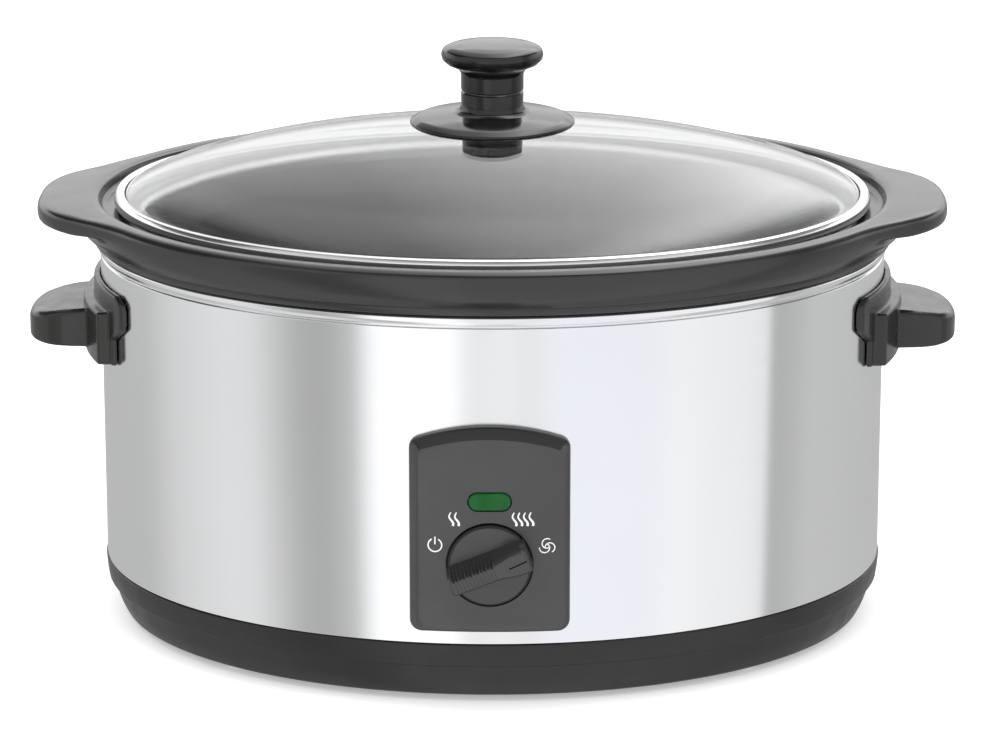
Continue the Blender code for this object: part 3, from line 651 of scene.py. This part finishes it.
for side, name in ((-1, "left"), (1, "right")):
    slices = [y for y in range(-56, 57, 4)]
    plate = loose("scratch_plate", end_block(rounded([(-46, 127.0), (-58, 135.5), (-58, 146.0), (-53, 149), (53, 149), (58, 146.0), (58, 135.5), (46, 127.0)], 3.0), 0.35, 3.0, 1.3, slices))
    flange = loose("scratch_flange", end_block(rounded([(-47.6, 117.3), (47.6, 117.3), (47.6, 141), (-47.6, 141)], 1.2), 0.35, 2.6, 0.7, slices))
    rib = loose("scratch_rib", end_block(rounded([(-46, 117.3), (46, 117.3), (46, 139.8), (-46, 139.8)], 1.4), 1.0, 7.4, 0.8, slices))
    tongue = loose("scratch_tongue", tongue_block())
    for other in (flange, rib, tongue):
        boolean(plate, other, "UNION")
    mesh = plate.data.copy()
    bpy.data.objects.remove(plate, do_unlink=True)
    mesh.transform(Matrix.Scale(side, 4, (1, 0, 0)))
    if side < 0:
        mesh.flip_normals()
    handle = place("handle_%s_fine" % name, mesh, HANDLE, "root", ["handle_" + name], "black_plastic", 60.0)
    remesh = handle.modifiers.new("v", "REMESH")
    remesh.mode = "VOXEL"
    remesh.voxel_size = 0.0005
    remesh.adaptivity = 0.0
    smooth = handle.modifiers.new("s", "SMOOTH")
    smooth.factor = 0.5
    smooth.iterations = 3
    bpy.context.view_layer.update()
    done = bpy.data.meshes.new_from_object(handle.evaluated_get(bpy.context.evaluated_depsgraph_get()))
    handle.modifiers.clear()
    handle.data = done
    done.materials.clear()
    done.materials.append(HANDLE)
    done.shade_smooth()

# ------------------------------------------------------------------ control panel
def arc_corner(cx, cz, radius, start, steps=8, sweep=90.0):
    return [(cx + radius * math.cos(math.radians(start + sweep * i / steps)), cz + radius * math.sin(math.radians(start + sweep * i / steps))) for i in range(steps + 1)]


PANEL_HALF = 32.4


def panel_loop(side, top, bottom, radius):
    w, low, high, r = PANEL_HALF - side, 31.4 + bottom, 117.8 - top, radius
    drop, slope = 6.2, 72.0
    meet = w - r + r * math.cos(math.radians(slope))
    z_corner = high - drop * (meet / PANEL_HALF) ** 2 - r * math.sin(math.radians(slope))
    arch = [(x, high - drop * (x / PANEL_HALF) ** 2) for x in np.linspace(meet, -meet, 23)[1:-1]]
    return (arc_corner(-w + r, low + r, r, 180) + arc_corner(w - r, low + r, r, 270)
            + arc_corner(w - r, z_corner, r, 0, sweep=slope) + arch + arc_corner(-w + r, z_corner, r, 180 - slope, sweep=slope))


PANEL_EDGE = [(0, 0, 0, 4.8, 0.4), (0, 0, 0, 4.8, 2.2), (0.05, 0.1, 0.05, 4.8, 3.0), (0.35, 0.5, 0.4, 4.7, 3.9), (0.5, 0.95, 0.6, 4.6, 4.15), (1.1, 2.1, 1.2, 4.3, 4.7),
              (2.0, 3.6, 2.2, 3.9, 5.3), (2.8, 4.6, 3.2, 3.5, 5.72), (3.3, 5.2, 3.8, 3.2, 5.9), (3.8, 5.7, 4.3, 3.0, 5.98), (4.4, 6.3, 4.9, 2.8, 6.0)]
loops = [panel_loop(s, t, b, r) for s, t, b, r, _ in PANEL_EDGE]
count = len(loops[0])
bm = bmesh.new()
rings = [[bm.verts.new((x, edge[4], z)) for x, z in loop] for loop, edge in zip(loops, PANEL_EDGE)]
bm.faces.new(rings[0])
for a, b in zip(rings, rings[1:]):
    for i in range(count):
        j = (i + 1) % count
        bm.faces.new((a[i], b[i], b[j], a[j]))
bm.faces.new(rings[-1][::-1])
for x in range(-32, 33, 2):
    bmesh.ops.bisect_plane(bm, geom=bm.verts[:] + bm.edges[:] + bm.faces[:], plane_co=(x, 0, 0), plane_no=(1, 0, 0))
for v in bm.verts:
    v.co = Vector((v.co.x, front_y(v.co.x, v.co.y), v.co.z + FEET))
panel = loose("scratch_panel", scaled(bm))


def stadium(cx, cz, half_width, radius, steps=16):
    flat = half_width - radius
    right = [(cx + flat + radius * math.cos(math.radians(-90 + 180 * i / steps)), cz + radius * math.sin(math.radians(-90 + 180 * i / steps))) for i in range(steps + 1)]
    return right + [(2 * cx - x, 2 * cz - z) for x, z in right]


LENS_AT = (0.0, FEET + 87.4)
DIAL_AT = (0.0, FEET + 60.9)
boolean(panel, loose("scratch", scaled(prism(stadium(*LENS_AT, 9.0, 4.1), FRONT - 9, FRONT + 2))))
boolean(panel, rod(17.7, FRONT - 9, FRONT - 3.6, DIAL_AT, 96))
boolean(panel, rod(5.6, FRONT - 9, FRONT + 2, DIAL_AT, 48))
mesh = panel.data.copy()
bpy.data.objects.remove(panel, do_unlink=True)
panel = place("control_panel_fine", mesh, [PANEL, SHADE_BLACK, PANEL_TOP_SHADE], "root", ["control_panel"], "panel_grey", 32.0)
for poly in panel.data.polygons:
    c = poly.center / MM
    r = math.hypot(c.x - DIAL_AT[0], c.z - DIAL_AT[1])
    below = c.y - front_y(c.x, 5.85) > 0
    in_recess = r < 17.75 and below
    in_window = abs(c.x) < 9.05 and abs(c.z - LENS_AT[1]) < 4.15 and below
    # painted shadow: the recess behind the dial and the window round the lens take the near-black shade material
    if in_recess or in_window:
        poly.material_index = 1
    # painted shade: the panel's upward-facing top bevel takes the darker copy of its own plastic
    elif poly.normal.z > 0.3 and c.z > FEET + 105:
        poly.material_index = 2

# green lens, a shallow pillow
bm = bmesh.new()
lens_rings = [(0.0, 0.4), (0.0, 6.1), (0.12, 6.5), (0.45, 6.8), (1.0, 6.93), (2.0, 7.0)]
rings = [[bm.verts.new((x, p, z)) for x, z in stadium(*LENS_AT, 8.55 - i, 3.65 - i)] for i, p in lens_rings]
bm.faces.new(rings[0])
n = len(rings[0])
for a, b in zip(rings, rings[1:]):
    for i in range(n):
        j = (i + 1) % n
        bm.faces.new((a[i], b[i], b[j], a[j]))
bm.faces.new(rings[-1][::-1])
for v in bm.verts:
    v.co = Vector((v.co.x, front_y(v.co.x, v.co.y), v.co.z))
mesh = bpy.data.meshes.new("indicator_lens_fine")
scaled(bm).to_mesh(mesh)
bm.free()
place("indicator_lens_fine", mesh, LENS, "root", ["indicator_lens"], "green_lens", 40.0)

# ------------------------------------------------------------------ dial
at_dial = Matrix.Translation(Vector((0, FRONT, DIAL_AT[1])) * MM) @ Matrix.Rotation(math.radians(90), 4, "X")
dial_bm = bmesh.new()
disc = filleted([(0, 7.7, 0), (15.9, 7.7, 0.25), (16.9, 6.9, 0.5), (16.95, 4.3, 0.2), (0, 4.3, 0)])
steps = 128
rows = []
for r, h in disc:
    if r < 1e-6:
        rows.append([dial_bm.verts.new((0, 0, h))])
    else:
        rows.append([dial_bm.verts.new((r * math.cos(2 * math.pi * i / steps), r * math.sin(2 * math.pi * i / steps), h)) for i in range(steps)])
for a, b in zip(rows, rows[1:]):
    for i in range(steps):
        j = (i + 1) % steps
        if len(a) == 1:
            dial_bm.faces.new((a[0], b[i], b[j]))
        elif len(b) == 1:
            dial_bm.faces.new((a[i], a[j], b[0]))
        else:
            dial_bm.faces.new((a[i], b[i], b[j], a[j]))
disc_obj = loose("scratch_disc", scaled(dial_bm))

# the grip: a wedge-shaped bar, ribbed on its left part, with a flat pointer end on its right
grip_bm = bmesh.new()
sections = []
for s in np.arange(-16.8, 16.81, 0.2):
    end_drop = 0.9 * max(abs(s) - 15.2, 0) ** 2 / 2.56
    flare = max(0.0, min((s - 2.0) / 10.0, 1.0))
    flare = flare * flare * (3 - 2 * flare)
    crest = 2.8 + 1.5 * flare - 0.5 * max(abs(s) - 15.2, 0) ** 2 / 2.56
    high = 19.3 - end_drop
    base = 6.3 - 0.9 * max(abs(s) - 14.2, 0) ** 2 / 6.8
    ribs = 0.0
    if -15.2 < s < 3.6:
        fade = min((s + 15.2) / 0.8, (3.6 - s) / 1.2, 1.0)
        ribs = fade * (0.5 - 0.5 * math.cos((s + 15.2) * 2 * math.pi / 1.5))
    section = [(base, 6.5), (base - 0.6, 9.0), (crest + 1.5 - 0.9 * ribs, high - 3.4), (crest + 0.5 - 0.9 * ribs, high - 0.7), (crest - 0.2 - 0.8 * ribs, high - 0.12 * ribs), (0.0, high + 0.08 - 0.3 * ribs),
               (-crest + 0.2, high - 0.2 * ribs), (-crest - 0.5, high - 0.7), (-crest - 1.5, high - 3.4), (-base + 0.6, 9.0), (-base, 6.5)]
    sections.append([grip_bm.verts.new((s, y, z)) for y, z in section])
n = len(sections[0])
for a, b in zip(sections, sections[1:]):
    for i in range(n):
        j = (i + 1) % n
        grip_bm.faces.new((a[i], b[i], b[j], a[j]))
grip_bm.faces.new(sections[0][::-1])
grip_bm.faces.new(sections[-1])
bmesh.ops.recalc_face_normals(grip_bm, faces=grip_bm.faces)
grip_obj = loose("scratch_grip", scaled(grip_bm))
slot_bm = bmesh.new()
bmesh.ops.create_cube(slot_bm, size=1.0)
bmesh.ops.scale(slot_bm, vec=(7.8, 0.6, 2.4), verts=slot_bm.verts)
slot_bm.transform(Matrix.Translation((12.2, -0.2, 19.0)) @ Matrix.Rotation(math.radians(4), 4, "Z"))
boolean(grip_obj, loose("scratch_slot", scaled(slot_bm)))
grip_obj.data.transform(Matrix.Rotation(math.radians(21.5), 4, "Z"))
boolean(disc_obj, grip_obj, "UNION")
socket_bm = prism([(3.35 * math.cos(2 * math.pi * i / 32), 3.35 * math.sin(2 * math.pi * i / 32)) for i in range(32)], -15.4, -4.0)
socket_bm.transform(Matrix.Rotation(math.radians(-90), 4, "X"))
boolean(disc_obj, loose("scratch_socket", scaled(socket_bm)))
mesh = disc_obj.data.copy()
bpy.data.objects.remove(disc_obj, do_unlink=True)
mesh.transform(at_dial)
dial = place("control_dial_fine", mesh, [DIAL, SHADE_BLACK], "dial", ["control_dial"], "dial_plastic", 34.0)
for poly in dial.data.polygons:
    c = poly.center / MM
    r = math.hypot(c.x, c.z - DIAL_AT[1])
    # painted shade: the dial's side wall takes the near-black shade material
    if r > 15.95 and c.y > FRONT - 7.66 and r > 0:
        poly.material_index = 1

# ------------------------------------------------------------------ printed symbols on the panel
def ribbon(name, strokes, width):
    """Strokes of (x, z) points in mm on the panel's face, each a thin raised line of ink."""
    verts, faces = [], []
    for stroke in strokes:
        closed = math.dist(stroke[0], stroke[-1]) < 1e-6
        pts = stroke[:-1] if closed else stroke
        n = len(pts)
        left, right = [], []
        for i in range(n):
            a = pts[(i - 1) % n] if closed or i > 0 else pts[i]
            b = pts[(i + 1) % n] if closed or i < n - 1 else pts[i]
            d = np.array(b, float) - np.array(a, float)
            d /= np.linalg.norm(d)
            side = np.array((-d[1], d[0]))
            half = width(i / max(n - 1, 1)) / 2 if callable(width) else width / 2
            left.append(np.array(pts[i]) + side * half)
            right.append(np.array(pts[i]) - side * half)
        base = len(verts)
        for group, proud in ((left, 6.1), (right, 6.1), (left, 5.9), (right, 5.9)):
            for x, z in group:
                verts.append((x, front_y(x, proud), z + DIAL_AT[1]))
        L, R, L2, R2 = base, base + n, base + 2 * n, base + 3 * n
        last = n if closed else n - 1
        for i in range(last):
            j = (i + 1) % n
            faces += [(L + i, L + j, R + j, R + i), (L2 + i, R2 + i, R2 + j, L2 + j), (L + i, L2 + i, L2 + j, L + j), (R + i, R + j, R2 + j, R2 + i)]
        if not closed:
            faces += [(L, R, R2, L2), (L + n - 1, L2 + n - 1, R2 + n - 1, R + n - 1)]
    return add(name, verts, faces, INK, "root", (), None, 30.0)


def arc(cx, cz, r, start, end, steps=28):
    return [(cx + r * math.cos(math.radians(start + (end - start) * i / steps)), cz + r * math.sin(math.radians(start + (end - start) * i / steps))) for i in range(steps + 1)]


def wave(cx, cz, tall=5.6):
    return [(cx + 0.62 * math.sin(-2 * math.pi * t * 1.0 + 0.5) + 0.75 * (0.5 - t) * -1.0, cz + tall * (0.5 - t)) for t in np.linspace(0, 1, 22)]


ribbon("symbol_off", [arc(-22.0, 8.1, 2.75, 118, 422), [(-22.0, 8.4), (-22.0, 11.6)]], 0.52)
ribbon("symbol_low", [wave(-15.5, 19.2), wave(-13.2, 19.2)], lambda t: 0.45 + 0.55 * t)
ribbon("symbol_high", [wave(9.9 + 2.25 * i, 19.2) for i in range(4)], lambda t: 0.45 + 0.55 * t)
swirl = [arc(23.1, 7.6, 0.8, 0, 360)]
swirl[0][-1] = swirl[0][0]
for k in range(3):
    a = math.radians(90 + 120 * k)
    cx, cz = 23.1 + 1.2 * math.cos(a), 7.6 + 1.2 * math.sin(a)
    swirl.append(arc(cx, cz, 2.05, math.degrees(a) - 35, math.degrees(a) + 165, 24))
ribbon("symbol_auto", swirl, 0.42)

# ------------------------------------------------------------------ rear inlet, gland and feet
bm = bmesh.new()
HOUSING = [(0, 0.4), (0, 10.2), (0.3, 11.8), (1.1, 13.0), (2.4, 13.75), (4.0, 14.0), (6.0, 14.0)]


def rounded_box(w, low, high, inset, r):
    w, low, high = w - inset, low + inset, high - inset
    return arc_corner(-w + r, low + r, r, 180) + arc_corner(w - r, low + r, r, 270) + arc_corner(w - r, high - r, r, 0) + arc_corner(-w + r, high - r, r, 90)


rings = [[bm.verts.new((x, p, z)) for x, z in rounded_box(20, 30, 58, i, max(3.4 - i * 0.45, 0.9))] for i, p in HOUSING]
bm.faces.new(rings[0])
n = len(rings[0])
for a, b in zip(rings, rings[1:]):
    for i in range(n):
        j = (i + 1) % n
        bm.faces.new((a[i], b[i], b[j], a[j]))
bm.faces.new(rings[-1][::-1])
for x in range(-18, 19, 2):
    bmesh.ops.bisect_plane(bm, geom=bm.verts[:] + bm.edges[:] + bm.faces[:], plane_co=(x, 0, 0), plane_no=(1, 0, 0))
for v in bm.verts:
    v.co = Vector((v.co.x, -front_y(v.co.x, v.co.y), v.co.z + FEET))
bmesh.ops.recalc_face_normals(bm, faces=bm.faces)
housing = loose("scratch_housing", scaled(bm))
boolean(housing, rod(5.9, B - 6, B + 22, (0.0, FEET + 44.0), 64))
mesh = housing.data.copy()
bpy.data.objects.remove(housing, do_unlink=True)
place("inlet_housing_fine", mesh, BASE, "root", ["inlet_housing"], "black_plastic", 34.0)
turned("cord_gland_fine", [
    (3.6, -5.0, 0.2), (5.5, -5.0, 0.3), (5.5, 14.3, 0.1), (8.0, 14.4, 0.5), (8.0, 16.3, 0.6), (6.6, 16.9, 0.3), (6.3, 17.5, 0.1), (6.7, 17.8, 0.2), (6.4, 18.4, 0.2), (5.9, 18.6, 0.1), (5.6, 19.5, 0.3), (3.6, 19.5, 0.3),
], RUBBER, "root", ["cord_gland"], "rubber", closed=True, steps=64, centre=(0.0, B, FEET + 44.0), axis="Y")
for name, x, y in (("front_left", -96, -58), ("front_right", 96, -58), ("rear_left", -96, 58), ("rear_right", 96, 58)):
    turned("foot_%s_fine" % name, [
        (0, 0.0, 0), (5.6, 0.0, 0.15), (5.9, 0.25, 0.1), (6.5, 0.25, 0.1), (6.8, 0.0, 0.15), (9.2, 0.0, 0.4), (9.8, 0.5, 0.4), (9.8, 2.2, 0.5), (9.2, 2.95, 0.3), (0, 2.95, 0),
    ], RUBBER, "root", ["foot_" + name], "rubber", steps=64, centre=(x, y, 0.0))

# ------------------------------------------------------------------ better finishes on the CAD pieces that stay
FINISH = {
    "bottom_cover": BASE, "heating_well": ALU, "heat_reflector": ALU, "heater_band": MICA, "cutout_bracket": ALU, "tie_bolt": ZINC,
    "dial_shaft": ZINC, "knob_screw": ZINC, "neon_lamp": LAMP, "thermal_cutout": LAMP, "lamp_holder": NYLON, "rotary_switch": NYLON, "terminal_block": NYLON,
    "lead_heater": WIRE, "lead_lamp": WIRE, "lead_switch": WIRE,
}
for node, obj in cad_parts.items():
    wanted = FINISH.get(node) or (ZINC if "screw" in node else None)
    if wanted is None:
        continue
    obj.data.materials.clear()
    obj.data.materials.append(wanted)
    obj.data.shade_smooth()
    obj.data.set_sharp_from_angle(angle=math.radians(35))
    if node == "knob_screw":
        obj.visible_glossy = obj.visible_transmission = False

# ------------------------------------------------------------------ floor, light, camera
floor_bm = bmesh.new()
bmesh.ops.create_grid(floor_bm, x_segments=8, y_segments=8, size=6.0)
floor_mesh = bpy.data.meshes.new("studio_floor")
floor_bm.to_mesh(floor_mesh)
floor_bm.free()
floor_mat = Mat("floor_pale", Base_Color=(0.93, 0.93, 0.93), Roughness=0.9, Specular_IOR_Level=0.1)
floor_mat.to(floor_mat.ramp(floor_mat.noise(3.0, 2.0), [(0.3, 0.925), (0.7, 0.935)]), "Base Color")
floor_mat.shader.inputs["Emission Color"].default_value = (1, 1, 1, 1)
floor_mat.shader.inputs["Emission Strength"].default_value = 0.35
floor_mesh.materials.append(floor_mat.mat)
floor = bpy.data.objects.new("studio_floor", floor_mesh)
floor.location = (0, 0, -0.0002)
looks.objects.link(floor)
floor.visible_glossy = False

world = bpy.data.worlds.new("studio")
scene.world = world
world.use_nodes = True
tree = world.node_tree
tree.nodes.clear()


def wnode(kind, **props):
    made = tree.nodes.new(kind)
    for key, value in props.items():
        setattr(made, key, value)
    return made


def wramp(source, stops, interpolation="LINEAR"):
    made = wnode("ShaderNodeValToRGB")
    made.color_ramp.interpolation = interpolation
    elements = made.color_ramp.elements
    while len(elements) < len(stops):
        elements.new(0.5)
    for element, (place_at, colour) in zip(elements, stops):
        element.position = place_at
        element.color = (*colour, 1.0) if hasattr(colour, "__len__") else (colour, colour, colour, 1.0)
    tree.links.new(source, made.inputs["Fac"])
    return made.outputs["Color"]


def wmath(operation, a, b=None):
    made = wnode("ShaderNodeMath", operation=operation)
    for i, value in enumerate((a, b)):
        if value is None:
            continue
        if isinstance(value, (int, float)):
            made.inputs[i].default_value = value
        else:
            tree.links.new(value, made.inputs[i])
    return made.outputs[0]


def wmix(factor, a, b):
    made = wnode("ShaderNodeMix", data_type="RGBA")
    for socket, value in ((made.inputs["Factor"], factor), (made.inputs["A"], a), (made.inputs["B"], b)):
        if isinstance(value, tuple):
            socket.default_value = value
        elif isinstance(value, (int, float)):
            socket.default_value = value
        else:
            tree.links.new(value, socket)
    return made.outputs["Result"]


direction = wnode("ShaderNodeTexCoord").outputs["Generated"]
split = wnode("ShaderNodeSeparateXYZ")
tree.links.new(direction, split.inputs[0])
elevation = wmath("ARCSINE", split.outputs["Z"])
azimuth = wmath("ARCTAN2", split.outputs["X"], wmath("MULTIPLY", split.outputs["Y"], -1.0))
turn_share = wmath("ADD", wmath("DIVIDE", azimuth, 2 * math.pi), 0.5)
rise_share = wmath("ADD", wmath("DIVIDE", elevation, math.pi), 0.5)


def az(degrees):
    return degrees / 360 + 0.5


def el(degrees):
    return degrees / 180 + 0.5


WHITE = (1.22, 1.22, 1.22)
bands = wramp(turn_share, [
    (az(-180), 0.5), (az(-110), 0.57), (az(-94), 0.74), (az(-72), 0.85), (az(-63), 0.82), (az(-49), 0.50), (az(-42), 0.46), (az(-34), 0.58), (az(-28), WHITE), (az(-10), WHITE), (az(-5), 0.93), (az(3), 0.98), (az(9), 0.91),
    (az(15), (0.98, 0.99, 1.05)), (az(40), (0.97, 0.98, 1.03)), (az(47), 1.02), (az(58), 0.98), (az(76), 0.93), (az(77.5), 0.46), (az(96), 0.6), (az(130), 0.56), (az(180), 0.5),
])
height = wramp(rise_share, [(el(20), 0.0), (el(22.3), 0.0), (el(23.3), 1.0), (el(90), 1.0)])
upper_front = wramp(rise_share, [(el(23), 0.95), (el(50), 0.75), (el(60), 0.08), (el(90), 0.04)])
across = wramp(wmath("ADD", wmath("MULTIPLY", split.outputs["X"], 0.5), 0.5), [
    (0.2, 0.05), (0.28, 0.25), (0.36, 1.15), (0.44, 1.3), (0.5, 2.0), (0.56, 2.5), (0.62, 3.9), (0.66, 3.4), (0.71, 1.2), (0.76, 0.45), (0.85, 0.3),
])
raised = wramp(rise_share, [(el(23), 0.72), (el(35), 0.8), (el(55), 1.0), (el(90), 1.1)])
upper_rear = wnode("ShaderNodeMix", data_type="RGBA", blend_type="MULTIPLY")
upper_rear.inputs["Factor"].default_value = 1.0
tree.links.new(across, upper_rear.inputs["A"])
tree.links.new(raised, upper_rear.inputs["B"])
upper_rear = upper_rear.outputs["Result"]
overhead = wramp(wmath("ADD", wmath("MULTIPLY", split.outputs["Y"], 0.5), 0.5), [(0.4, 0.0), (0.475, 1.0)])
upper = wmix(overhead, upper_front, upper_rear)
rear_wall = wramp(rise_share, [(el(-90), 0.9), (el(0), 0.9), (el(7), 1.35), (el(19.4), 1.45), (el(20.6), 2.3), (el(23), 2.3)])
front_share = wramp(split.outputs["Y"], [(0.0, 0.0), (0.3, 1.0)])
rising = wramp(rise_share, [(el(-2), 0.0), (el(6), 1.0)])
rear_share = wmath("MULTIPLY", front_share, rising)
low_part = wmix(rear_share, bands, rear_wall)
sky = wmix(height, low_part, upper)
soft = wramp(rise_share, [(el(-90), 0.6), (el(0), 0.8), (el(40), 1.1), (el(90), 1.5)])
path = wnode("ShaderNodeLightPath")
lit = wmix(path.outputs["Is Glossy Ray"], soft, sky)
seen = wmix(path.outputs["Is Camera Ray"], lit, (0.98, 0.98, 0.98, 1.0))
glow = wnode("ShaderNodeBackground")
tree.links.new(seen, glow.inputs["Color"])
glow.inputs["Strength"].default_value = 1.0
out = wnode("ShaderNodeOutputWorld")
tree.links.new(glow.outputs[0], out.inputs["Surface"])


def area(name, location, target, size, power, colour=(1, 1, 1), glossy=False):
    data = bpy.data.lights.new(name, "AREA")
    data.shape = "RECTANGLE"
    data.size, data.size_y = size
    data.energy = power
    data.color = colour
    obj = bpy.data.objects.new(name, data)
    looks.objects.link(obj)
    obj.location = location
    obj.rotation_euler = (Vector(target) - Vector(location)).to_track_quat("-Z", "Y").to_euler()
    obj.visible_glossy = glossy
    obj.visible_camera = False
    obj.visible_transmission = False
    return obj


area("softbox_top", (0.0, -0.3, 2.6), (0, 0, 0), (3.6, 3.2), 22)
area("softbox_front", (0.4, -2.6, 1.5), (0, 0, 0.1), (2.6, 1.8), 10)

camera_data = bpy.data.cameras.new("camera")
camera = bpy.data.objects.new("camera", camera_data)
looks.objects.link(camera)
camera_data.lens = 156.6
camera_data.sensor_width = 36.0
camera_data.clip_end = 60.0
camera.location = (0.0146, -1.803, 0.6105)
camera.rotation_euler = (math.radians(74.35), 0, math.radians(0.37))
camera_data.shift_x = 0.0007
scene.camera = camera
